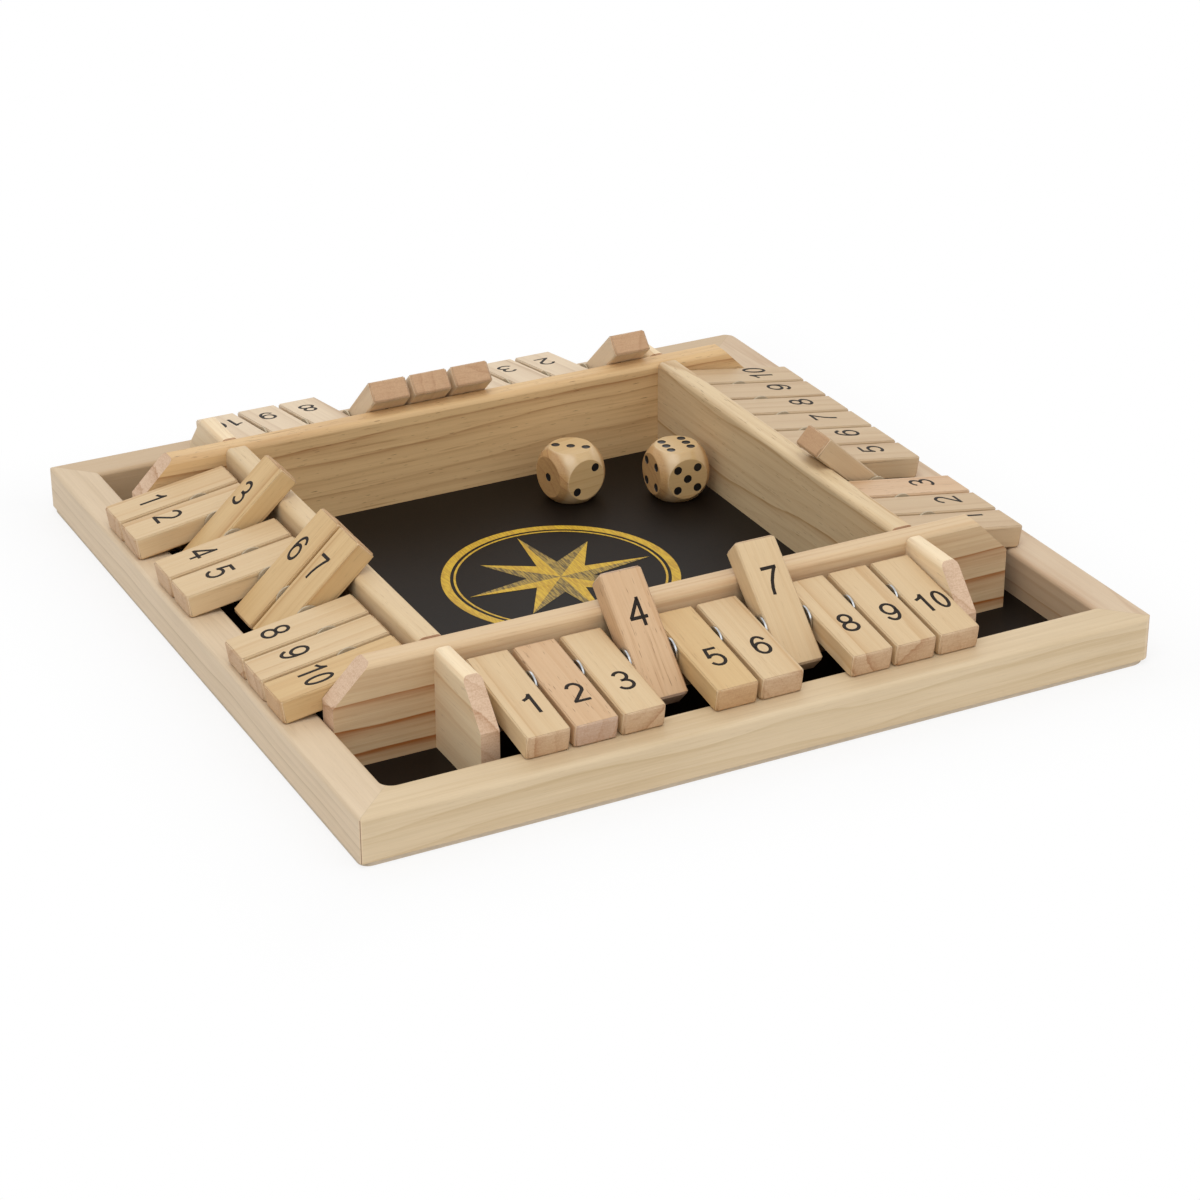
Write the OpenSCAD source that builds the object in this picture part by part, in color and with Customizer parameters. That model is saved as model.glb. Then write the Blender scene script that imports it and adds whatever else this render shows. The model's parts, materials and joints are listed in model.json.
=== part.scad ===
// Four-player shut the box game, in millimetres.
// A mitred pine frame stands on a thin base board. A square dice tray of
// upright walls sits inside it, and each of its four sides has a row of ten
// tiles that flip over on a steel rod. A shut tile lies outwards on the frame;
// a raised one leans inwards on the top of the tray wall.
// Origin: middle of the base board's underside. X is right, Y back and Z up,
// as the player at the front sees it. Side 0 is the front, and the others
// follow anticlockwise: right, back, left.

/* [Frame] */
// Width of a frame rail
rail_w = 14.5; // [13.5:0.5:20]
// Height of a frame rail above the base board
rail_h = 15.5; // [12:0.5:20]
// Radius of the frame's two outer corners on the left, which are nearly sharp
left_corner_r = 1; // [0.5:0.5:8]
// Radius of its outer corner at the front right
right_corner_r = 4; // [0.5:0.5:8]
// Radius of its outer corner at the back right
far_corner_r = 7.5; // [0.5:0.5:10]
// Radius of the opening's corner at the front left, the one that isn't square
opening_corner_r = 4; // [2:0.5:6]
// Radius of the rails' top edges
rail_edge_r = 1.5; // [0.5:0.25:3]

/* [Base board] */
// Thickness of the base board
board_t = 1.5; // [1:0.25:5]
// How far the base board's edge stays inside the frame's
board_inset = 0.4; // [0:0.1:3]
// How much rounder the base board's corners are than the frame's
board_corner_extra = 3; // [3:0.5:8]

/* [Tray walls] */
// Thickness of the tray walls
wall_t = 8.5; // [6:0.5:12]
// Thickness of the brackets
bracket_t = 6.4; // [5:0.1:12]
// How far a bracket stands outside the end of the tray's opening
bracket_step = 0.6; // [0:0.1:2]
// Height of the tray walls and brackets above the base board
wall_h = 35; // [32:0.5:45]
// Radius of the walls' and brackets' top edges
wall_top_r = 2; // [0.5:0.25:3]
// How far the sloped end of a wall drops below its top
nose_drop = 13; // [8:0.5:18]
// How far the sloped end of a bracket drops below its top
bracket_drop = 14; // [8:0.5:18]
// How far the sloped end of a wall or bracket runs along its top
nose_run = 13; // [8:0.5:15]
// Gap from the long walls to the left rail
end_gap_left = 0.4; // [0.3:0.1:4]
// Gap from the long walls to the right rail
end_gap_right = 8; // [0.3:0.1:9]
// Gap from the front brackets to the front rail
bracket_gap_front = 6.2; // [0.3:0.1:7]
// Gap from the back brackets to the back rail
bracket_gap_back = 0.7; // [0.3:0.1:7]

/* [Rods and washers] */
// Diameter of a rod
rod_d = 3; // [2:0.25:4]
// How much higher a rod is than a tile lying level on the rails would need
rod_rise = 4.4; // [3:0.1:6]
// Wood left behind the blind hole that a rod's end sits in
rod_skin = 3; // [2:0.5:5]
// Diameter of a washer
washer_d = 9.4; // [7:0.1:11]
// Thickness of a washer
washer_t = 0.6; // [0.4:0.05:0.8]

/* [Tiles] */
// Width of a tile along its rod
tile_w = 15; // [12:0.25:18]
// Thickness of a tile
tile_t = 8.2; // [6:0.1:9]
// Length of a tile from its rod to the end next to the tray
short_arm = 15.7; // [13:0.1:18]
// How far a shut tile laps onto the rail, where the tray is in the middle
tile_lap = 9.5; // [8:0.1:11]
// Radius of the edges across a tile's ends
tile_edge_r = 1; // [0.5:0.25:2]
// Radius of a tile's four corners, seen from above
tile_corner_r = 1.3; // [0.5:0.1:3]
// Radius of a tile's long edges
tile_side_r = 0.8; // [0.3:0.1:2]
// Gap between neighbouring tiles
tile_gap = 1.4; // [1:0.05:2]
// Spare length of a row at each of its ends
row_play = 1.2; // [0.3:0.1:4]

/* [Dice] */
// Size of a die across its faces
die_size = 20; // [14:0.5:22]
// Diameter of the flat circle on each face of a die
die_flat_d = 15.5; // [10:0.5:18]
// Distance from the middle of a face to a row of its pips
pip_pitch = 4; // [2.5:0.1:4.5]
// Diameter of a pip
pip_d = 3.2; // [1.5:0.1:3.5]
// Depth of a pip
pip_depth = 0.3; // [0.1:0.05:0.6]
// Distance between the middles of the two dice, across the tray
dice_apart = 35; // [30:1:60]

/* [Hidden] */
SIDES = ["front", "right", "back", "left"];
TILES = 10;
// Numbers of the tiles that stand raised, and how much of its play each row
// has slid towards its tile 10, in the order of SIDES
RAISED_NUMBERS = [[4, 7], [4], [1, 5, 6, 7], [3, 6, 7]];
SLID = [0.95, 0.4, 0.95, 0.8];

// Clearances of the fits
rod_fit = 0.05;      // rod in its blind hole, radially
rod_end_gap = 0.3;   // rod's end to the bottom of its hole
tile_fit = 0.08;     // tile's bore on the rod, radially
washer_fit = 0.1;    // washer on the rod, radially
rest_gap = 0.1;      // tile at rest to what it leans on
tip_gap = 0.8;       // sweep of a tile's short arm to the tray wall
sweep_gap = 3.75;    // the same sweep to the rail, where the tray is in the middle

// Across the game, from the tray outwards
tile_pitch = tile_w + tile_gap;
row_len = TILES * tile_w + (TILES - 1) * tile_gap;
tray_in = row_len + 2 * row_play;
tray_out = tray_in + 2 * wall_t;
short_sweep = norm([short_arm, tile_t / 2]);
rod_out = short_sweep + tip_gap;
rod_line = tray_out / 2 + rod_out;
rod_to_rail = short_sweep + sweep_gap;
trough_w = rod_out + rod_to_rail;
frame_in = tray_out + 2 * trough_w;
frame_side = frame_in + 2 * rail_w;
wall_l = frame_in - end_gap_left - end_gap_right;
bracket_l = trough_w - (bracket_gap_front + bracket_gap_back) / 2;
tray_at = [(end_gap_left - end_gap_right) / 2, (bracket_gap_front - bracket_gap_back) / 2];

// Rods and tiles
long_arm = rod_to_rail + tile_lap;
rod_z = rail_h + tile_t / 2 + rod_rise;
wall_seat = wall_t - rod_skin;
bracket_seat = bracket_step + bracket_t - rod_skin;

// Slope of a shut tile: its lower end edge meets the rail's top
edge_arm = long_arm - tile_edge_r;
edge_half = tile_t / 2 - tile_edge_r;
rail_drop = rod_z - rail_h - tile_edge_r - rest_gap;
shut_angle = asin(rail_drop / norm([edge_arm, edge_half])) - atan2(edge_half, edge_arm);

// Slope of a raised tile: its lower face meets the wall's rounded top edge
lean_out = rod_out + wall_top_r;
lean_up = wall_h - wall_top_r - rod_z;
lean_reach = tile_t / 2 + wall_top_r + rest_gap;
raised_angle = asin(lean_reach / norm([lean_out, lean_up])) + atan2(lean_up, lean_out);

// Dice: the right one's gaps to the tray's right and back walls, how much
// further back the left one lies, both places from the middle of the tray,
// their turns, and the pip counts of the faces towards -X, -Y and +Z
die_z = die_size / 2;
die_ball_r = norm([die_size, die_flat_d]) / 2;
die_right_gap = [3.7, 29.8];
dice_step = 16.5;
die_right_at = [for (gap = die_right_gap) (tray_in - die_size) / 2 - gap];
die_left_at = die_right_at + [-dice_apart, dice_step];
die_left_turn = 7.7;
die_right_turn = -2.6;
die_left_faces = [1, 2, 3];
die_right_faces = [4, 5, 6];

pine = "#e6cda4";
pine_edge = "#d9bd92";
pine_tile = "#ecd8b2";
black_board = "#1b1614";
steel = "#c3c6c9";
eps = 0.01;

function is_raised(side, number) = len(search(number, RAISED_NUMBERS[side])) > 0;
function tile_x(side, number) = (number - (TILES + 1) / 2) * tile_pitch + SLID[side] * row_play;
function tile_turn(side, number) = is_raised(side, number) ? raised_angle - 180 : shut_angle;

// A rectangle from the origin with its two top corners rounded
module round_top(width, height, r) {
    square([width, height - r]);
    translate([r, 0]) square([width - 2 * r, height]);
    for (x = [r, width - r]) translate([x, height - r]) circle(r, $fn = 48);
}

// A rectangle from the origin with all four corners rounded
module round_all(width, height, r) {
    translate([0, r]) square([width, height - 2 * r]);
    translate([r, 0]) square([width - 2 * r, height]);
    for (x = [r, width - r], y = [r, height - r]) translate([x, y]) circle(r, $fn = 32);
}

// The frame's outline, drawn in all round by inset, with every corner
// rounder by extra
module frame_outline(inset, extra) {
    half = frame_side / 2 - inset;
    left = left_corner_r + extra - inset;
    right = right_corner_r + extra - inset;
    far = far_corner_r + extra - inset;
    polygon([
        [-half, left - half], [left - half, -half], [half - right, -half], [half, right - half],
        [half, half - far], [half - far, half], [left - half, half], [-half, half - left]
    ]);
    translate([left - half, left - half]) circle(left, $fn = 64);
    translate([half - right, right - half]) circle(right, $fn = 64);
    translate([half - far, half - far]) circle(far, $fn = 64);
    translate([left - half, half - left]) circle(left, $fn = 64);
}

// A round-topped length of section, from the origin along +X
module bar(length, width, height, r) {
    rotate([90, 0, 90]) linear_extrude(length) round_top(width, height, r);
}

// An outline in the XZ plane, extruded over a thickness from y = 0 along +Y
module upright(thickness) {
    translate([0, thickness, 0]) rotate([90, 0, 0]) linear_extrude(thickness) children();
}

// Tray-centred frame at the height of the base board's top, turned to a side
module at_side(side) {
    translate([tray_at[0], tray_at[1], board_t]) rotate(90 * side) children();
}

module base_board() {
    color(black_board) linear_extrude(board_t) frame_outline(board_inset, board_corner_extra);
}

// Wood that rounds the opening's corner at the front left, with the rails'
// own top edge carried round it. It laps over the edges of both rails.
module opening_corner() {
    r = opening_corner_r;
    edge = rail_edge_r;
    translate([-frame_in / 2, -frame_in / 2, 0]) difference() {
        translate([-edge, -edge, 0]) cube([r + edge, r + edge, rail_h]);
        translate([r, r, 0]) rotate_extrude($fn = 192) difference() {
            translate([0, -eps]) square([r + edge, rail_h + 2 * eps]);
            translate([r + edge, rail_h - edge]) circle(edge, $fn = 48);
            translate([r, -2 * eps]) square([2 * edge, rail_h - edge + 2 * eps]);
        }
    }
}

// One rail, mitred at both ends, with the frame's upright corners rounded.
// The front and left rails share the rounded corner of the opening.
module frame_rail(side) {
    half = frame_side / 2;
    inner = frame_in / 2;
    r = opening_corner_r;
    color(pine) translate([0, 0, board_t]) intersection() {
        union() {
            rotate(90 * side) translate([-half, -half, 0]) bar(frame_side, rail_w, rail_h, rail_edge_r);
            if (side == 0 || side == 3) opening_corner();
        }
        rotate(90 * side) linear_extrude(rail_h) polygon([
            [-half, -half], [half, -half], [inner, -inner], [inner - r, r - inner],
            [r - inner, r - inner], [-inner, -inner]
        ]);
        linear_extrude(rail_h) frame_outline(0, 0);
    }
}

// A wall between the long ones
module short_wall(side) {
    color(pine_edge) at_side(side)
        translate([-tray_in / 2, -tray_out / 2, 0]) bar(tray_in, wall_t, wall_h, wall_top_r);
}

// A wall that runs on past the tray, with sloped ends and blind holes on its
// inner face for the rods of the rows on both sides
module long_wall(side) {
    half = wall_l / 2;
    nose = wall_h - nose_drop;
    color(pine_edge) at_side(side) difference() {
        intersection() {
            translate([-half, -tray_out / 2, 0]) bar(wall_l, wall_t, wall_h, wall_top_r);
            translate([0, -tray_out / 2, 0]) upright(wall_t) polygon([
                [-half, 0], [half, 0], [half, nose], [half - nose_run, wall_h],
                [nose_run - half, wall_h], [-half, nose]
            ]);
        }
        for (x = [-rod_line, rod_line])
            translate([x, -tray_in / 2 + eps, rod_z]) rotate([90, 0, 0])
                cylinder(h = wall_seat + eps, d = rod_d + 2 * rod_fit, $fn = 48);
    }
}

// A plate on a long wall's outer face that carries one end of its row's rod.
// hand is -1 at the left end of the row and 1 at the right end.
module bracket(side, hand) {
    nose = wall_h - bracket_drop;
    middle = tray_in / 2 + bracket_step + bracket_t / 2;
    color(pine_edge) at_side(side) difference() {
        translate([hand * middle - bracket_t / 2, -tray_out / 2, 0])
            intersection() {
                rotate(-90) bar(bracket_l, bracket_t, wall_h, wall_top_r);
                rotate(-90) upright(bracket_t) polygon([
                    [0, 0], [bracket_l, 0], [bracket_l, nose], [bracket_l - nose_run, wall_h], [0, wall_h]
                ]);
            }
        translate([hand * (tray_in / 2 - eps), -rod_line, rod_z]) rotate([0, hand * 90, 0])
            cylinder(h = bracket_seat + eps, d = rod_d + 2 * rod_fit, $fn = 48);
    }
}

// The front and back rods sit in brackets, the other two in the long walls
module rod(side) {
    seat = side % 2 == 0 ? bracket_seat : wall_seat;
    rod_l = tray_in + 2 * (seat - rod_end_gap);
    color(steel) at_side(side)
        translate([-rod_l / 2, -rod_line, rod_z]) rotate([0, 90, 0]) cylinder(h = rod_l, d = rod_d, $fn = 48);
}

// The washers of all four rows, one between every two tiles
module washers() {
    color(steel) for (side = [0:3], gap = [1:TILES - 1])
        at_side(side)
            translate([tile_x(side, gap + 0.5) - washer_t / 2, -rod_line, rod_z]) rotate([0, 90, 0]) difference() {
                cylinder(h = washer_t, d = washer_d, $fn = 64);
                translate([0, 0, -eps]) cylinder(h = washer_t + 2 * eps, d = rod_d + 2 * washer_fit, $fn = 48);
            }
}

// A tile lying along X about its rod, long arm towards -X, its width along +Z
// and its thickness along Y
module tile_block() {
    tile_l = long_arm + short_arm;
    difference() {
        intersection() {
            translate([-long_arm, -tile_t / 2, 0]) linear_extrude(tile_w) round_all(tile_l, tile_t, tile_edge_r);
            translate([-long_arm, tile_t / 2 + eps, 0]) rotate([90, 0, 0])
                linear_extrude(tile_t + 2 * eps) round_all(tile_l, tile_w, tile_corner_r);
            translate([-long_arm - eps, -tile_t / 2, 0]) rotate([90, 0, 90])
                linear_extrude(tile_l + 2 * eps) round_all(tile_t, tile_w, tile_side_r);
        }
        translate([0, 0, -eps]) cylinder(h = tile_w + 2 * eps, r = rod_d / 2 + tile_fit, $fn = 48);
    }
}

module tile(side, number) {
    color(pine_tile) at_side(side)
        translate([tile_x(side, number) - tile_w / 2, -rod_line, rod_z]) rotate([tile_turn(side, number), 0, 0])
            rotate([90, 0, 90]) tile_block();
}

// The pips of one face, as pits down from z = 0
module pips(count) {
    falling = [[-1, 1], [1, -1]];
    rising = [[-1, -1], [1, 1]];
    sides = [[-1, 0], [1, 0]];
    places = concat(
        count % 2 == 1 ? [[0, 0]] : [],
        count > 2 ? falling : [],
        count > 3 || count == 2 ? rising : [],
        count == 6 ? sides : []
    );
    for (place = places)
        translate([place[0] * pip_pitch, place[1] * pip_pitch, -pip_depth])
            cylinder(h = pip_depth + eps, d = pip_d, $fn = 32);
}

// faces holds the pip counts towards -X, -Y and +Z
module die(at, turn, faces) {
    color(pine_tile) translate([tray_at[0] + at[0], tray_at[1] + at[1], board_t + die_z]) rotate(turn)
        difference() {
            intersection() {
                cube(die_size, center = true);
                sphere(die_ball_r, $fn = 96);
            }
            rotate([90, 0, -90]) translate([0, 0, die_z]) pips(faces[0]);
            rotate([90, 0, 90]) translate([0, 0, die_z]) pips(7 - faces[0]);
            rotate([90, 0, 0]) translate([0, 0, die_z]) pips(faces[1]);
            rotate([-90, 0, 0]) translate([0, 0, die_z]) pips(7 - faces[1]);
            translate([0, 0, die_z]) pips(faces[2]);
            rotate([180, 0, 0]) translate([0, 0, die_z]) pips(7 - faces[2]);
        }
}

base_board();
frame_rail(0);  // frame_front
frame_rail(1);  // frame_right
frame_rail(2);  // frame_back
frame_rail(3);  // frame_left
long_wall(0);  // tray_wall_front
short_wall(1);  // tray_wall_right
long_wall(2);  // tray_wall_back
short_wall(3);  // tray_wall_left
bracket(0, -1);  // bracket_front_left
bracket(0, 1);  // bracket_front_right
bracket(2, 1);  // bracket_back_left
bracket(2, -1);  // bracket_back_right
for (side = [0:3])
    rod(side);
washers();
die(die_left_at, die_left_turn, die_left_faces);  // die_left
die(die_right_at, die_right_turn, die_right_faces);  // die_right
for (side = [0:3], number = [1:TILES])
    tile(side, number);
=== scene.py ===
import json
import math
import random

import bpy
from mathutils import Matrix, Vector


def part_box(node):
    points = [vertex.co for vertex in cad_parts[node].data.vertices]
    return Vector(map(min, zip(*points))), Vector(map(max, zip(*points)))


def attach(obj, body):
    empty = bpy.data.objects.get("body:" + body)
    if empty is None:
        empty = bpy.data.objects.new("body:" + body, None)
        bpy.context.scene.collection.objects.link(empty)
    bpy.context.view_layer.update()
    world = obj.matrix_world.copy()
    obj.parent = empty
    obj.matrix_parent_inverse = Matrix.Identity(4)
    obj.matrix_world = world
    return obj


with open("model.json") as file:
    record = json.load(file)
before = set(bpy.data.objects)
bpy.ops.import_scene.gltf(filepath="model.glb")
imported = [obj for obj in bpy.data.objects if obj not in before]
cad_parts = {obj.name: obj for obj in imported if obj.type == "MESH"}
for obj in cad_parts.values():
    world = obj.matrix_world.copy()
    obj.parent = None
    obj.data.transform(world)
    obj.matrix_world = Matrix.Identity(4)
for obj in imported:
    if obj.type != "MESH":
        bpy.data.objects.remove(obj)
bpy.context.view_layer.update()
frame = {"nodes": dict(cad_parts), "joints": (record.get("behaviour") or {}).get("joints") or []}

MM = 0.001
SIDES = ("front", "right", "back", "left")
TURNS = {"front": 0, "right": 90, "back": 180, "left": 270}
UP = Vector((0, 0, 1))

# Repeated from the solid model: angles in degrees and sizes in millimetres
SHUT_ANGLE = 8.7586
RAISED_ANGLE = 42.4469
TILE_T = 8.2
DIE_SIZE = 20
DIE_FLAT_D = 15.5
DIE_TURNS = {"die_left": 7.7, "die_right": -2.6}
BOARD_TOP = 1.5
TRAY_MIDDLE = (-3.8, 2.75)


# ---------- colours ----------

def shade(code):
    """A colour as an artist picks it, made linear for the shaders."""
    parts = [int(code[place:place + 2], 16) / 255 for place in (1, 3, 5)]
    linear = [c / 12.92 if c <= 0.04045 else ((c + 0.055) / 1.055) ** 2.4 for c in parts]
    return (*linear, 1)


# ---------- node helpers ----------

def plug(tree, socket, value):
    """Link a socket to another one, or give it a fixed value."""
    if isinstance(value, bpy.types.NodeSocket):
        tree.links.new(value, socket)
    else:
        socket.default_value = value


def add(tree, kind, inputs=None, **settings):
    """A new shader node with its settings and inputs."""
    made = tree.nodes.new("ShaderNode" + kind)
    for name, value in settings.items():
        setattr(made, name, value)
    for key, value in (inputs or {}).items():
        plug(tree, made.inputs[key], value)
    return made


def calc(tree, operation, *values):
    """Arithmetic on numbers."""
    return add(tree, "Math", dict(enumerate(values)), operation=operation).outputs[0]


def steer(tree, operation, *values):
    """Arithmetic on vectors."""
    made = add(tree, "VectorMath", dict(enumerate(values)), operation=operation)
    single = operation in ("LENGTH", "DOT_PRODUCT", "DISTANCE")
    return made.outputs["Value" if single else "Vector"]


def scale(tree, vector, factor):
    made = add(tree, "VectorMath", {0: vector, "Scale": factor}, operation="SCALE")
    return made.outputs["Vector"]


def split(tree, vector):
    """The three parts of a vector."""
    return add(tree, "SeparateXYZ", {0: vector}).outputs


def inverse(tree, value):
    return calc(tree, "SUBTRACT", 1.0, value)


def clamp(tree, value):
    return add(tree, "Clamp", {"Value": value}).outputs[0]


def rise(tree, value, low, high):
    """0 below low, 1 above high, with a soft step between."""
    made = add(tree, "MapRange", {"Value": value, "From Min": low, "From Max": high},
               interpolation_type="SMOOTHSTEP")
    return made.outputs["Result"]


def grainy(tree, place, stretch, seed, detail=2.0, rough=0.5):
    """Noise of a place in millimetres times stretch, so a small factor gives a long streak."""
    inputs = {"Vector": steer(tree, "MULTIPLY", place, stretch), "W": seed, "Scale": 1.0,
              "Detail": detail, "Roughness": rough}
    return add(tree, "TexNoise", inputs, noise_dimensions="4D")


def tint(tree, amount, first, second, kind="MIX"):
    """A mix of two colours."""
    made = add(tree, "Mix", {0: amount, 6: first, 7: second}, data_type="RGBA", blend_type=kind)
    return made.outputs[2]


def set_stops(ramp, stops):
    """Grey stops of a colour ramp, as (place, brightness)."""
    points = ramp.color_ramp.elements
    while len(points) < len(stops):
        points.new(0.5)
    for point, (place, grey) in zip(points, stops):
        point.position = place
        point.color = (grey, grey, grey, 1)


def roughen(tree, skin, height, strength, depth):
    """Bump on a surface, with its depth in millimetres."""
    bump = add(tree, "Bump", {"Height": height, "Strength": strength, "Distance": depth * MM})
    plug(tree, skin.inputs["Normal"], bump.outputs[0])


def new_material(name):
    made = bpy.data.materials.new(name)
    made.use_nodes = True
    tree = made.node_tree
    return made, tree, tree.nodes["Principled BSDF"]


# ---------- pine ----------

PINE_INPUTS = (
    ("Place", "NodeSocketVector"),
    ("Grain", "NodeSocketVector"),
    ("Pith", "NodeSocketVector"),
    ("Seed", "NodeSocketFloat"),
    ("Ring", "NodeSocketFloat"),
    ("Wander", "NodeSocketFloat"),
    ("Contrast", "NodeSocketFloat"),
    ("Evenness", "NodeSocketFloat"),
    ("Flecks", "NodeSocketFloat"),
    ("Pale", "NodeSocketColor"),
    ("Brown", "NodeSocketColor"),
    ("End", "NodeSocketColor"),
)
PINE_OUTPUTS = (
    ("Colour", "NodeSocketColor"),
    ("Roughness", "NodeSocketFloat"),
    ("Height", "NodeSocketFloat"),
)

# Noise behind each mark of the wood: how it is stretched along and across the grain,
# what is added to the seed, and the range of the noise in which the mark shows
MARKS = {
    "streak": {"stretch": (0.012, 0.7, 0.7), "step": 7.3, "detail": 4.0, "rough": 0.6, "shows": (0.4, 0.7)},
    "fibre": {"stretch": (0.08, 3.6, 3.6), "step": 3.1, "detail": 3.0, "rough": 0.65},
    "fleck": {"stretch": (0.2, 2.6, 2.6), "step": 11.7, "detail": 1.0, "rough": 0.5, "shows": (0.66, 0.74)},
    "vein": {"stretch": (0.035, 1.1, 1.1), "step": 21.1, "detail": 2.0, "rough": 0.5, "shows": (0.6, 0.76)},
    "cloud": {"stretch": (0.02, 0.07, 0.07), "step": 17.9, "detail": 1.0, "rough": 0.5},
    "pores": {"stretch": (1.6, 1.9, 1.9), "step": 0.0, "detail": 4.0, "rough": 0.7, "shows": (0.35, 0.7)},
    "saw": {"stretch": (0.25, 0.22, 2.4), "step": 5.5, "detail": 2.0, "rough": 0.5, "shows": (0.4, 0.7)},
}
# Darkness across one growth ring, from the early wood to the late wood
RING_STOPS = ((0.0, 0.0), (0.4, 0.05), (0.78, 0.4), (0.93, 1.0), (0.985, 0.0))
# How the noise that bends the rings and the noise that ripples them are stretched, the detail
# of each, and the height of a ripple in rings
RING_BEND = (0.011, 0.03, 0.03)
RING_BEND_DETAIL = 1.5
RING_RIPPLE = (0.03, 0.6, 0.6)
RING_RIPPLE_DETAIL = 3.0
RING_RIPPLE_HEIGHT = 0.3
# The late wood's strength from ring to ring: its range above the faintest, and a power that
# makes more of the rings faint
RING_RANGE = 0.95
RING_FAINTEST = 0.1
RING_POWER = 1.7

# How strongly the marks colour a face along the grain, with what keeps its mean tone in place
STREAK_DEPTH = 0.26
STREAK_LIFT = -0.03
CLOUD_DEPTH = 0.3
CLOUD_LIFT = -0.12
FIBRE_DEPTH = 0.2
FIBRE_DARKEST = 0.9
VEIN_DEPTH = 0.45
FLECK_DEPTH = 0.7
# How strongly they colour a sawn end, and the share of the painted highlight on an eased edge
PORE_DEPTH = 0.38
SAW_DEPTH = 0.2
END_RING_DEPTH = 0.75
END_DEPTH = 0.8
EDGE_HIGHLIGHT_SHARE = 0.3
# Roughness of smooth pine, and what the fibres and a sawn end add
SMOOTH_PINE = 0.42
FIBRE_ROUGHNESS = 0.16
CUT_ROUGHNESS = 0.2
# Shares of the fibres, the rings and a sawn end's pores in the relief
FIBRE_RELIEF = 0.6
RING_RELIEF = 0.25
PORE_RELIEF = 1.2

VEIN_BROWN = "#9a6a3c"
FLECK_BROWN = "#6a4022"
END_BROWN = "#a07048"
# The painted highlight along the eased edges of a sawn end
EDGE_HIGHLIGHT = "#f0d8b8"

# How squarely a face must cross the grain to look sawn, and to take the painted highlight of an eased edge
CUT_FACING = (0.5, 0.68)
EDGE_HIGHLIGHT_FACING = (0.18, 0.4)


def mark(tree, place, seed, name):
    """The noise of one of the wood's marks."""
    kind = MARKS[name]
    own_seed = calc(tree, "ADD", seed, kind["step"])
    return grainy(tree, place, kind["stretch"], own_seed, kind["detail"], kind["rough"]).outputs[0]


def shown(tree, marks, name):
    """1 where a mark shows and 0 where it doesn't."""
    return rise(tree, marks[name], *MARKS[name]["shows"])


def ring_count(tree, place, given):
    """Growth rings counted from the pith, bent along the length so that they run out at the faces."""
    noise = grainy(tree, place, RING_BEND, given["Seed"], RING_BEND_DETAIL).outputs["Color"]
    bend = steer(tree, "SUBTRACT", noise, (0.5, 0.5, 0.5))
    bent = steer(tree, "ADD", place, scale(tree, bend, given["Wander"]))
    across = steer(tree, "MULTIPLY", steer(tree, "SUBTRACT", bent, given["Pith"]), (0, 1, 1))
    rings = calc(tree, "DIVIDE", steer(tree, "LENGTH", across), given["Ring"])
    ripple = grainy(tree, place, RING_RIPPLE, given["Seed"], RING_RIPPLE_DETAIL).outputs[0]
    return calc(tree, "ADD", rings, calc(tree, "MULTIPLY", ripple, RING_RIPPLE_HEIGHT))


def late_wood(tree, place, given):
    """The dark late wood of each ring, some rings stronger than others."""
    rings = ring_count(tree, place, given)
    late = add(tree, "ValToRGB", {"Fac": calc(tree, "FRACT", rings)})
    set_stops(late, RING_STOPS)
    which = calc(tree, "ADD", calc(tree, "FLOOR", rings), given["Seed"])
    chance = add(tree, "TexWhiteNoise", {"W": which}, noise_dimensions="1D").outputs["Value"]
    chance = calc(tree, "POWER", chance, RING_POWER)
    strength = calc(tree, "MULTIPLY_ADD", chance, RING_RANGE, RING_FAINTEST)
    strength = calc(tree, "MAXIMUM", strength, given["Evenness"])
    return calc(tree, "MULTIPLY", late.outputs[0], strength)


def long_grain(tree, given, late, marks):
    """Colour of the faces along the grain: rings and streaks, slow changes of tone, veins, flecks."""
    streak = calc(tree, "MULTIPLY_ADD", shown(tree, marks, "streak"), STREAK_DEPTH, STREAK_LIFT)
    brown = calc(tree, "MULTIPLY", calc(tree, "ADD", streak, late), given["Contrast"])
    cloud = calc(tree, "MULTIPLY_ADD", marks["cloud"], CLOUD_DEPTH, CLOUD_LIFT)
    brown = clamp(tree, calc(tree, "ADD", brown, cloud))
    colour = tint(tree, brown, given["Pale"], given["Brown"])
    light = calc(tree, "MULTIPLY_ADD", marks["fibre"], FIBRE_DEPTH, FIBRE_DARKEST)
    colour = tint(tree, 1.0, colour, light, "MULTIPLY")
    vein = calc(tree, "MULTIPLY", shown(tree, marks, "vein"), given["Flecks"])
    colour = tint(tree, calc(tree, "MULTIPLY", vein, VEIN_DEPTH), colour, shade(VEIN_BROWN))
    fleck = calc(tree, "MULTIPLY", shown(tree, marks, "fleck"), given["Flecks"])
    return tint(tree, calc(tree, "MULTIPLY", fleck, FLECK_DEPTH), colour, shade(FLECK_BROWN))


def end_grain(tree, given, late, marks):
    """Colour of a sawn end: pores, saw marks and the late wood."""
    pores = calc(tree, "MULTIPLY", shown(tree, marks, "pores"), PORE_DEPTH)
    saw = calc(tree, "MULTIPLY", shown(tree, marks, "saw"), SAW_DEPTH)
    rings = calc(tree, "MULTIPLY", late, END_RING_DEPTH)
    dark = calc(tree, "ADD", calc(tree, "ADD", pores, saw), rings)
    dark = clamp(tree, calc(tree, "MULTIPLY", dark, END_DEPTH))
    return tint(tree, dark, given["End"], shade(END_BROWN))


def pine_colour(tree, given, late, marks, facing, cut):
    """Long grain and sawn ends, with a painted highlight where an end's edges are eased."""
    colour = tint(tree, cut, long_grain(tree, given, late, marks), end_grain(tree, given, late, marks))
    # Painted highlight: a pale line along the eased edges of a sawn end
    edge = calc(tree, "MULTIPLY", rise(tree, facing, *EDGE_HIGHLIGHT_FACING), inverse(tree, cut))
    return tint(tree, calc(tree, "MULTIPLY", edge, EDGE_HIGHLIGHT_SHARE), colour, shade(EDGE_HIGHLIGHT))


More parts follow.
